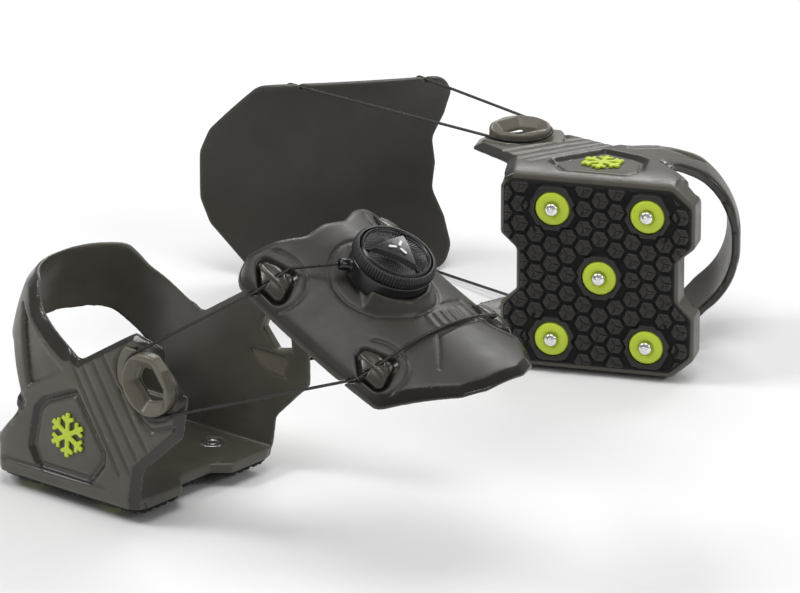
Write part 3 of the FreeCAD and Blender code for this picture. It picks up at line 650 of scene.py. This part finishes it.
def spike_bases():
    """Lime disc with a crowned face, a rolled rim and a dished seat for the spike."""
    profile = rounded_profile([
        (2.0, 3.1, 0), (2.95, 3.1, 0.1), (3.3, 2.45, 0.25), (4.3, 2.22, 0.4), (6.1, 2.5, 0.6),
        (6.95, 3.4, 0.4), (6.95, 5.45, 0.1), (2.0, 5.45, 0)])
    return turned("spike_bases", profile, "lime_plastic", 96, SPIKES)


def ice_spikes():
    """Turned steel spike: a hard tip set in a stepped, chamfered head."""
    profile = rounded_profile([
        (0.0, 0.0, 0), (0.95, 0.0, 0.15), (1.05, 0.45, 0.1), (1.3, 0.5, 0.1), (2.3, 0.95, 0.3),
        (2.58, 1.5, 0.2), (2.58, 3.08, 0.05), (1.98, 3.1, 0.05), (1.98, 9.2, 0.1), (0.0, 9.2, 0)])
    return turned("ice_spikes", profile, "spike_steel", spots=SPIKES)


def spike_inserts():
    """Flanged steel bush with a rolled edge, seen from inside the cup."""
    profile = rounded_profile([
        (2.0, 5.5, 0), (2.95, 5.5, 0.2), (2.95, 8.3, 0.1), (4.75, 8.3, 0.2), (4.75, 9.3, 0.35),
        (2.6, 9.3, 0.2), (2.0, 8.9, 0.2)])
    return turned("spike_inserts", profile, "spike_steel", spots=SPIKES)


# ---------------------------------------------------------------- instep plate
def plate_height(u, v):
    """Height of the plate's outer face, u along the foot and v across it."""
    arch = np.sqrt(ARCH_R ** 2 - np.minimum(np.abs(v), 60) ** 2) - ARCH_R
    return HOLLOW_R - np.sqrt((HOLLOW_R - arch) ** 2 - u ** 2)


def guide_frame(u, v):
    """Frame on the plate's face at a lace guide, in the cleat's frame."""
    lean = Matrix.Rotation(-math.asin(v / ARCH_R), 4, "X")
    return PLATE @ Matrix.Translation((u, v, float(plate_height(u, v)))) @ lean


SIDE_BEVEL, FRONT_BEVEL = 2.2, 4.2
SIDE_DROP, FRONT_DROP = 1.2, 2.3
GUIDE_CORE = [(-6.6, 1.2), (2.2, 4.4), (5.6, -3.6), (-0.6, -3.4)]
GUIDE_ROUNDING = 2.5
RECESS_GROOVE, RECESS_DEPTH = (1.5, 1.7), 1.7
ARC_R, ARC_WIDTH, ARC_DROP = 13.2, 0.9, 1.3
ARC_SHIFT = (1.6, math.radians(50))          # how far, and which way, an arc is off its guide
COLLAR_RING_R, COLLAR_GROOVE = 21.0, (0.8, 1.1)
PLATE_LINES = [[(12, -18), (21, -6), (18.5, 26)], [(46, -18), (33, -5), (31, 19)]]
LINE_GROOVE = (0.8, 1.0)
BAR_COUNT, BAR_START, BAR_PITCH = 6, -1.5, 4.2
BAR_U, BAR_LEAN, BAR_HALF, BAR_HEIGHT = (23.4, 28.6), 0.8, 1.3, 0.5


def instep_plate():
    """Hard arched shell: bevelled rim, arcs beside the guides, a ring round the collar, plain bars."""
    plate = Solid("instep_plate", 0.5, 2.4, PLATE)
    u, v = plate.x[:, :, 0], plate.y[:, :, 0]
    depth = (plate_height(u, v)[:, :, None] - plate.z).astype(np.float32)
    edge = edge_distance(plate.values.min(axis=2), u)
    front = eased(u, 34, 44)
    bevel = SIDE_BEVEL + (FRONT_BEVEL - SIDE_BEVEL) * front
    profile = wedge(edge, bevel, SIDE_DROP + (FRONT_DROP - SIDE_DROP) * front)
    sunk = np.zeros(u.shape)
    shift, turn = ARC_SHIFT
    for gu, gv in GUIDE_SPOTS.values():
        lean = math.asin(gv / ARCH_R)
        along, across = u - gu, (-gv - np.abs(v)) / math.cos(lean)
        border = outline_distance(GUIDE_CORE, along, across) - GUIDE_ROUNDING
        recess = np.minimum(RECESS_DEPTH, wedge(border, *RECESS_GROOVE))
        profile = np.maximum(profile, np.where(border > -0.6, recess, UNTOUCHED))
        sunk = np.maximum(sunk, 1 - eased(border, 1.1, 1.4))
        du, dv = along + shift * math.cos(turn), across + shift * math.sin(turn)
        radius, bearing = np.hypot(du, dv), np.degrees(np.arctan2(dv, du))
        shown = eased(bearing, -42, -26) * (1 - eased(bearing, 126, 142))
        arc = wedge(np.abs(radius - ARC_R), ARC_WIDTH, ARC_DROP * shown)
        profile = np.maximum(profile, arc - 0.02)
    ring = np.abs(np.hypot(u, v) - COLLAR_RING_R)
    profile = np.maximum(profile, wedge(ring, *COLLAR_GROOVE))
    for points in PLATE_LINES:
        profile = np.maximum(profile, wedge(line_distance(points, u, v), *LINE_GROOVE))
    raised = np.full(u.shape, UNTOUCHED)
    for k in range(BAR_COUNT):
        middle = BAR_START + BAR_PITCH * k
        bar = run_distance((BAR_U[0], middle + BAR_LEAN), (BAR_U[1], middle - BAR_LEAN), u, v)
        height = np.minimum(BAR_HEIGHT, BAR_HALF - bar)
        raised = np.maximum(raised, np.where(bar < BAR_HALF, height, UNTOUCHED))
    plate.carve(depth, profile[:, :, None])
    plate.heap(depth, raised[:, :, None])
    plate.soften(1)
    # Painted shade: the rim bevels, wider and darker towards the front, and the guide recesses are
    # darkened and given a glossier roughness.
    rim_shade_and_gloss = (1 - eased(edge, bevel - 0.4, bevel)) * (0.35 + 0.65 * front)
    rim_shade_and_gloss = np.maximum(rim_shade_and_gloss, sunk)

    def painted_shade_and_gloss(px, py, pz):
        outer_side = 1 - eased(plate.sampled(depth, px, py, pz), 2.6, 3.0)
        return plate.sampled(rim_shade_and_gloss, px, py) * outer_side

    return plate.mesh("instep_plate", "plate_plastic", 0.01, painted_shade_and_gloss)


BUTTON_MIDDLE, BUTTON_TURN = (-0.5, -1.2), math.radians(-18)
CROWN_HALVES, CROWN_BASE, CROWN_RISE = (9.2, 5.4), -0.9, 3.3
RIDGE_HALVES, RIDGE_R = (7.6, 4.6), 0.85


def plate_guide(spot):
    """Rounded button that the lace passes through, with a swept ridge over its crown."""
    guide = Solid(spot + "_guide_outer", 0.22, 1.3, guide_frame(*GUIDE_SPOTS[spot]))
    x, y = guide.x[:, :, 0], guide.y[:, :, 0]
    du, dv = x - BUTTON_MIDDLE[0], y - BUTTON_MIDDLE[1]
    along = du * math.cos(BUTTON_TURN) + dv * math.sin(BUTTON_TURN)
    aside = dv * math.cos(BUTTON_TURN) - du * math.sin(BUTTON_TURN)
    dome = 1 - (along / CROWN_HALVES[0]) ** 2 - (aside / CROWN_HALVES[1]) ** 2
    crown = CROWN_BASE + CROWN_RISE * np.sqrt(np.maximum(dome, 0.0))
    sweep = aside - 1.5 * np.sin(along / 4.2)
    ridge = np.hypot(sweep[:, :, None], guide.z - crown[:, :, None] + 0.25) - RIDGE_R
    ridged = (along / RIDGE_HALVES[0]) ** 2 + (aside / RIDGE_HALVES[1]) ** 2 < 1
    lace_gap = run_distance(TUNNEL_IN[:2], TUNNEL_OUT[:2], x, y)
    fall = (TUNNEL_OUT[2] - TUNNEL_IN[2]) / (TUNNEL_IN[1] - TUNNEL_OUT[1])
    level = TUNNEL_IN[2] + (TUNNEL_IN[1] - y) * fall
    bore = LACE_HOLE_R - np.hypot(lace_gap[:, :, None], guide.z - level[:, :, None])
    with_ridge = np.maximum(np.minimum(guide.values, ridge), bore)
    guide.values = np.where(ridged[:, :, None], with_ridge, guide.values).astype(np.float32)
    guide.soften(3)
    return guide.mesh(spot + "_guide", "post_plastic")


# ---------------------------------------------------------------- reel and dial
def reel_housing():
    housing = Solid("reel_housing", 0.26, 1.3, PLATE)
    housing.soften(4)
    return housing.mesh("reel_housing", "reel_plastic")


def polar_mesh(name, rings, sectors, point, material):
    """A ring-shaped mesh from point(i, angle), i counting round the closed section."""
    points, faces = [], []
    for i in range(rings):
        for k in range(sectors):
            points.append(point(i, 2 * math.pi * k / sectors))
    for i in range(rings):
        for k in range(sectors):
            a, b = i * sectors, (i + 1) % rings * sectors
            following = (k + 1) % sectors
            faces.append((a + k, b + k, b + following, a + following))
    mesh = mesh_of(name, points, faces, material)
    merge_centre(mesh)
    return mesh


DIAL_TOP, DIAL_RIM = 15.3, 14.15
DIAL_SECTORS, SCOOP_RIBS = 840, 60


def dial_top(radius, angle):
    """Height of the cap's face: a dome with three scoops, each crossed by fine ribs fanning out."""
    height = DIAL_TOP - 0.010 * radius ** 2 - 1.35 * float(eased(radius, 12.4, DIAL_RIM)) ** 2
    for k in range(3):
        reach = radius * math.cos(angle - math.radians(60 + 120 * k))
        scoop = float(eased(reach, 4.7, 5.9)) * (1 - float(eased(radius, 12.2, 12.9)))
        fading = float(eased(reach, 5.4, 6.2)) * (1 - float(eased(radius, 11.6, 12.3)))
        ribs = 0.16 * math.cos(angle * SCOOP_RIBS) * fading
        height -= scoop * (1.9 - 0.1 * (reach - 5)) - ribs * (reach > 0)
    return height


def dial_core():
    """Glossy cap: a three-cornered crown between three scoops, a rounded rim and a skirt."""
    radii = [0.02] + [0.2 + 0.15 * k for k in range(80)]
    radii += [12.3, 12.6, 12.9, 13.2, 13.5, 13.75, 13.95, 14.1, DIAL_RIM, DIAL_RIM]
    count = len(radii)
    skirt = [(DIAL_RIM, 12.6), (DIAL_RIM, 8.5), (13.9, 8.42), (12.7, 8.42), (12.6, 8.6), (12.6, 9.9),
             (12.4, 10.05), (0.02, 10.05)]

    def point(i, angle):
        if i < count:
            radius = radii[i]
            height = dial_top(radius, angle)
        else:
            radius, height = skirt[i - count]
        return radius * math.cos(angle), radius * math.sin(angle), height

    return polar_mesh("dial_core", count + len(skirt), DIAL_SECTORS, point, "dial_plastic")


GRIP_RIBS, GRIP_GROOVE = 84, 0.5


def dial_grip():
    """Rubber tyre with fine upright ribs and rolled edges."""
    section = rounded_profile([
        (14.25, 8.4, 0.2), (15.9, 8.4, 0.5), (16.15, 9.4, 0.4), (16.15, 11.4, 0.6),
        (15.3, 12.7, 0.4), (14.25, 12.9, 0.2)], 5)

    def point(i, angle):
        radius, height = section[i]
        groove = GRIP_GROOVE * (0.5 - 0.5 * math.cos(angle * GRIP_RIBS)) ** 1.5
        reach = float(eased(radius, 14.6, 15.8))
        radius -= groove * reach
        return radius * math.cos(angle), radius * math.sin(angle), height

    return polar_mesh("dial_grip", len(section), GRIP_RIBS * 10, point, "grip_rubber")


def dial_emblem():
    """Plain cover of the screw; the three short raised bars on it come from emblem_bars."""
    profile = rounded_profile([(0.0, 13.9, 0), (3.05, 13.9, 0.05), (3.05, 15.3, 0.15), (0.0, 15.38, 0)])
    return turned("dial_button", profile, "dial_plastic")


BAR_ENDS, BAR_R = (1.3, 3.6), 0.5
BAR_FOOT, BAR_FACE = 15.34, 15.62


def emblem_bars():
    """Three raised bars pointing from the dial's middle to its corners."""
    points, faces = [], []
    for k in range(3):
        turn = math.radians(120 * k)
        base = len(points)
        outline = []
        for centre, start in zip(BAR_ENDS, (90, -90)):
            for step in range(9):
                angle = math.radians(start + step * 22.5)
                outline.append((centre + BAR_R * math.cos(angle), BAR_R * math.sin(angle)))
        for height in (BAR_FOOT, BAR_FACE):
            for px, py in outline:
                points.append((px * math.cos(turn) - py * math.sin(turn),
                               px * math.sin(turn) + py * math.cos(turn), height))
        n = len(outline)
        faces.append(tuple(base + n - 1 - i for i in range(n)))
        faces.append(tuple(base + n + i for i in range(n)))
        for i in range(n):
            faces.append((base + i, base + (i + 1) % n, base + n + (i + 1) % n, base + n + i))
    return mesh_of("emblem_bars", points, faces, "emblem_plastic", smooth=False)


# ---------------------------------------------------------------- lace
def strand(points, radius=LACE_R, pitch=7.0, step=0.35):
    """The points and faces of a cable of six strands, along a smooth line through points."""
    line = resampled([Vector(p) for p in points], step)
    sides = 24
    core, lobe_r = 0.62, 0.38                       # shares of the radius
    verts, quads = [], []
    normal = None
    travelled = 0.0
    for i, here in enumerate(line):
        tangent = (line[min(i + 1, len(line) - 1)] - line[max(i - 1, 0)]).normalized()
        if normal is None:
            normal = tangent.orthogonal().normalized()
        normal = (normal - tangent * normal.dot(tangent)).normalized()
        other = tangent.cross(normal)
        if i:
            travelled += (here - line[i - 1]).length
        twist = 2 * math.pi * travelled / pitch
        for k in range(sides):
            angle = 2 * math.pi * k / sides
            lobe = (angle % (math.pi / 3)) - math.pi / 6
            bulge = math.sqrt(max(0.0, lobe_r ** 2 - (core * math.sin(lobe)) ** 2))
            reach = radius * (core * math.cos(lobe) + bulge)
            outward = normal * math.cos(angle + twist) + other * math.sin(angle + twist)
            verts.append(here + outward * reach)
    for i in range(len(line) - 1):
        for k in range(sides):
            a, b = i * sides, (i + 1) * sides
            following = (k + 1) % sides
            quads.append((a + k, a + following, b + following, b + k))
    quads.append(tuple(reversed(range(sides))))
    quads.append(tuple(range((len(line) - 1) * sides, len(line) * sides)))
    return verts, quads


def resampled(points, step):
    """Points at even steps along the line."""
    result = [points[0]]
    carried = 0.0
    for p, q in zip(points, points[1:]):
        length = (q - p).length
        at = step - carried
        while at <= length:
            result.append(p + (q - p) * (at / length))
            at += step
        carried = length - (at - step)
    result.append(points[-1])
    return result


def bent(points, radii):
    """Straight runs through points with a tangent arc at each inner point."""
    result = [Vector(points[0])]
    for i in range(1, len(points) - 1):
        here = Vector(points[i])
        back = (Vector(points[i - 1]) - here).normalized()
        ahead = (Vector(points[i + 1]) - here).normalized()
        half = back.angle(ahead) / 2
        cut = radii[i - 1] / math.tan(half)
        centre = here + (back + ahead).normalized() * (radii[i - 1] / math.sin(half))
        first, last = here + back * cut - centre, here + ahead * cut - centre
        for k in range(9):
            result.append(centre + first.normalized().slerp(last.normalized(), k / 8) * radii[i - 1])
    result.append(Vector(points[-1]))
    return result


def tunnel_in(spot):
    return guide_frame(*GUIDE_SPOTS[spot]) @ Vector(TUNNEL_IN)


def tunnel_out(spot):
    return guide_frame(*GUIDE_SPOTS[spot]) @ Vector(TUNNEL_OUT)


def tunnel_middle(spot):
    return (tunnel_in(spot) + tunnel_out(spot)) / 2


def wrap_tangent(point, side):
    dx, dz = point.x - RING_X, point.z - RING_Z
    return math.atan2(dz, dx) + side * math.acos(LACE_WRAP_R / math.hypot(dx, dz))


def wrap_point(angle):
    return Vector((RING_X + LACE_WRAP_R * math.cos(angle), LACE_Y,
                   RING_Z + LACE_WRAP_R * math.sin(angle)))


def mirrored(points):
    """The points on the other side of the middle plane."""
    return [Vector((p.x, -p.y, p.z)) for p in points]


PORT_ANGLE = math.radians(180 + 56)                 # the lace leaves the reel this way on the plate
PORT_INSIDE, PORT_OUTSIDE = (11.0, 3.6), (20.5, 3.8)    # its distance and height at the reel
CROSSING = [(-21, 1.6), (-11, 1.0), (0, 0.9)]       # places across the plate, and heights over it
CROSSING_BENDS = [2.0, 12.0, 20.0, 20.0, 20.0, 12.0, 2.0]
WRAP_STEPS = 40


def plate_lace():
    """The lace on the plate: from the reel to each rear guide, and between the front guides."""
    out = Vector((math.cos(PORT_ANGLE), math.sin(PORT_ANGLE), 0))
    inside, outside = (PLATE @ (out * reach + Vector((0, 0, height)))
                       for reach, height in (PORT_INSIDE, PORT_OUTSIDE))
    reel_run = bent([inside, outside, tunnel_in("rear"), tunnel_middle("rear")], [3.0, 2.0])
    u = GUIDE_SPOTS["front"][0] + TUNNEL_IN[0]
    over = [PLATE @ Vector((u, v, float(plate_height(u, v)) + above)) for v, above in CROSSING]
    near = [tunnel_middle("front"), tunnel_in("front")] + over
    crossing = bent(near + mirrored(reversed(near[:-1])), CROSSING_BENDS)
    points, faces = joined([strand(reel_run), strand(mirrored(reel_run)), strand(crossing)])
    return mesh_of("lace_plate_run", points, faces, "lace_steel")


def lace_spans():
    """On each side, the turn round the heel guide and the two spans from it to the plate's rear and
    front guides.
    """
    top = wrap_tangent(tunnel_out("rear"), 1)
    bottom = wrap_tangent(tunnel_out("front"), -1) + 2 * math.pi
    wrap = [wrap_point(top + (bottom - top) * k / WRAP_STEPS) for k in range(WRAP_STEPS + 1)]
    spans = {
        "lace_upper": bent([wrap_point(top), tunnel_out("rear"), tunnel_middle("rear")], [3.0]),
        "lace_lower": bent([wrap_point(bottom), tunnel_out("front"), tunnel_middle("front")], [3.0]),
    }
    for suffix, sided in (("outer", list), ("inner", mirrored)):
        node = "lace_span_" + suffix
        mesh = mesh_of("lace_wrap_" + suffix, *strand(sided(wrap)), "lace_steel")
        stand(mesh, "lace_wrap_" + suffix, "lace_yoke", [node])
        for name, points in spans.items():
            line = sided(points)
            for side, place in PLACES.items():
                mesh = mesh_of(side + "_" + name, *strand(line), "lace_steel")
                mesh.transform(place)
                piece = bpy.data.objects.new(side + "_" + name + "_" + suffix, mesh)
                bpy.context.scene.collection.objects.link(piece)
                start, end = (place @ (p * MM) for p in (line[0], line[1]))
                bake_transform(piece)
                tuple(start)
                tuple(end)
                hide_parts(side + "_" + node)


def joined(parts):
    """Several (points, faces) as one."""
    points, faces = [], []
    for some_points, some_faces in parts:
        base = len(points)
        points += some_points
        faces += [tuple(base + k for k in face) for face in some_faces]
    return points, faces


WINDING_LAYERS, LAYER_TURNS, TURN_STEPS = 4, 3, 48
WINDING_R, LAYER_PITCH, WOUND_LACE_R = 6.62, 0.84, 0.55
WINDING_LOW, WINDING_HIGH = 2.6, 4.8


def lace_winding():
    """Turns of lace on the spool, layer on layer, to and fro along it."""
    layers = []
    steps = LAYER_TURNS * TURN_STEPS
    for layer in range(WINDING_LAYERS):
        radius = WINDING_R + LAYER_PITCH * layer
        points = []
        for k in range(steps + 1):
            angle = 2 * math.pi * k / TURN_STEPS
            height = WINDING_LOW + (WINDING_HIGH - WINDING_LOW) * k / steps
            if layer % 2:
                height = WINDING_LOW + WINDING_HIGH - height
            points.append(Vector((radius * math.cos(angle), radius * math.sin(angle), height)))
        layers.append(strand(points, radius=WOUND_LACE_R, step=0.8))
    points, faces = joined(layers)
    return mesh_of("lace_winding", points, faces, "lace_steel")


# ---------------------------------------------------------------- everything on both cleats
stand(heel_cup(), "cup", "heel", ["heel_cup"])
stand(tread_pad(), "tread", "heel", ["tread_pad"])
stand(spike_bases(), "stud_discs", "heel", ["spike_bases"])
stand(ice_spikes(), "studs", "heel", ["ice_spikes"])
stand(spike_inserts(), "stud_bushes", "heel", ["spike_inserts"])
guide_mesh, badge_mesh = heel_guide(), badge()
stand(guide_mesh, "outer_ring_guide", "heel", ["outer_heel_guide"])
stand(flipped(guide_mesh), "inner_ring_guide", "heel", ["inner_heel_guide"])
stand(badge_mesh, "outer_star", "heel", ["outer_badge"])
stand(flipped(badge_mesh), "inner_star", "heel", ["inner_badge"])
stand(instep_plate(), "plate_shell", "plate", ["instep_plate"], PLATE)
MIRROR = Matrix.Scale(-1, 4, (0, 1, 0))
for spot, at in GUIDE_SPOTS.items():
    button = plate_guide(spot)
    stand(button, spot + "_button_outer", "plate", [spot + "_guide_outer"],
          guide_frame(*at))
    stand(flipped(button), spot + "_button_inner", "plate", [spot + "_guide_inner"],
          MIRROR @ guide_frame(*at) @ MIRROR)
stand(reel_housing(), "reel", "plate", ["reel_housing"], PLATE)
stand(dial_core(), "dial_cap", "dial", ["dial_core"], PLATE)
stand(dial_grip(), "dial_tyre", "dial", ["dial_grip"], PLATE)
stand(dial_emblem(), "dial_button", "dial", ["dial_emblem"], PLATE)
stand(emblem_bars(), "dial_bars", "dial", [], PLATE)
stand(lace_winding(), "wound_lace", "spool", ["lace_winding"], PLATE)
stand(plate_lace(), "lace_plate_run", "plate", ["lace_plate_run"])
lace_spans()

# The hidden reel parts keep their CAD shape.
CARRIED = {"spool": "reel_plastic", "drive_disc": "reel_plastic", "dial_spring": "spike_steel",
           "dial_screw": "spike_steel"}
for side in PLACES:
    for node, material in CARRIED.items():
        shown = frame["nodes"][side + "_" + node]
        shown.data.materials.clear()
        shown.data.materials.append(MATERIALS[material])


# ---------------------------------------------------------------- floor, light and camera
FLOOR_SIZE, FLOOR_GAP = 28.0, 0.0002          # metres


def floor():
    mesh = bpy.data.meshes.new("floor")
    half = FLOOR_SIZE / 2
    corners = [(-half, -half, 0), (half, -half, 0), (half, half, 0), (-half, half, 0)]
    mesh.from_pydata(corners, [], [(0, 1, 2, 3)])
    plain = bpy.data.objects.new("floor", mesh)
    plain.location.z = -FLOOR_GAP
    n = Nodes("pale_floor")
    tone = n.ramp(n.noise(3, 3), [(0.3, (0.86, 0.86, 0.86)), (0.7, (0.89, 0.89, 0.89))])
    mesh.materials.append(n.finish(tone, Roughness=0.75, Specular_IOR_Level=0.25))
    bpy.context.scene.collection.objects.link(plain)


def lamp(name, place, aim, size, power):
    """A soft rectangular light at place, pointing at aim."""
    light = bpy.data.lights.new(name, "AREA")
    light.shape = "RECTANGLE"
    light.size, light.size_y = size
    light.energy = power
    holder = bpy.data.objects.new(name, light)
    holder.location = place
    holder.rotation_mode = "QUATERNION"
    holder.rotation_quaternion = (Vector(aim) - Vector(place)).to_track_quat("-Z", "Y")
    bpy.context.scene.collection.objects.link(holder)


SKY_STRENGTH = 0.30


def world():
    sky = bpy.data.worlds.new("studio")
    sky.use_nodes = True
    background = sky.node_tree.nodes["Background"]
    background.inputs["Color"].default_value = (1, 1, 1, 1)
    background.inputs["Strength"].default_value = SKY_STRENGTH
    bpy.context.scene.world = sky


CAMERA_BEARING, CAMERA_RISE = math.radians(40), math.radians(20)
CAMERA_DISTANCE = 3.0
CAMERA_LENS = 361.8
CAMERA_AIM = Vector((0.0685, -0.0743, 0.0810))


def camera():
    toward = Vector((math.sin(CAMERA_BEARING) * math.cos(CAMERA_RISE),
                     -math.cos(CAMERA_BEARING) * math.cos(CAMERA_RISE), math.sin(CAMERA_RISE)))
    lens = bpy.data.cameras.new("camera")
    lens.lens = CAMERA_LENS
    lens.sensor_width = 36
    lens.clip_end = 40
    eye = bpy.data.objects.new("camera", lens)
    eye.location = CAMERA_AIM + toward * CAMERA_DISTANCE
    eye.rotation_mode = "QUATERNION"
    eye.rotation_quaternion = (-toward).to_track_quat("-Z", "Y")
    bpy.context.scene.collection.objects.link(eye)
    bpy.context.scene.camera = eye


floor()
world()
lamp("key", (-1.1, -1.0, 1.5), (0, 0, 0.06), (0.7, 0.7), 17.0)
lamp("right_strip", (1.5, 0.2, 0.9), (0, 0, 0.07), (1.2, 0.25), 7.0)
lamp("back_strip", (-0.4, 1.4, 1.1), (0, 0, 0.08), (1.6, 0.25), 13.0)
lamp("top", (0.3, -0.3, 1.9), (0, 0, 0.08), (1.1, 1.1), 13.0)
camera()
bpy.context.scene.view_settings.view_transform = "Standard"
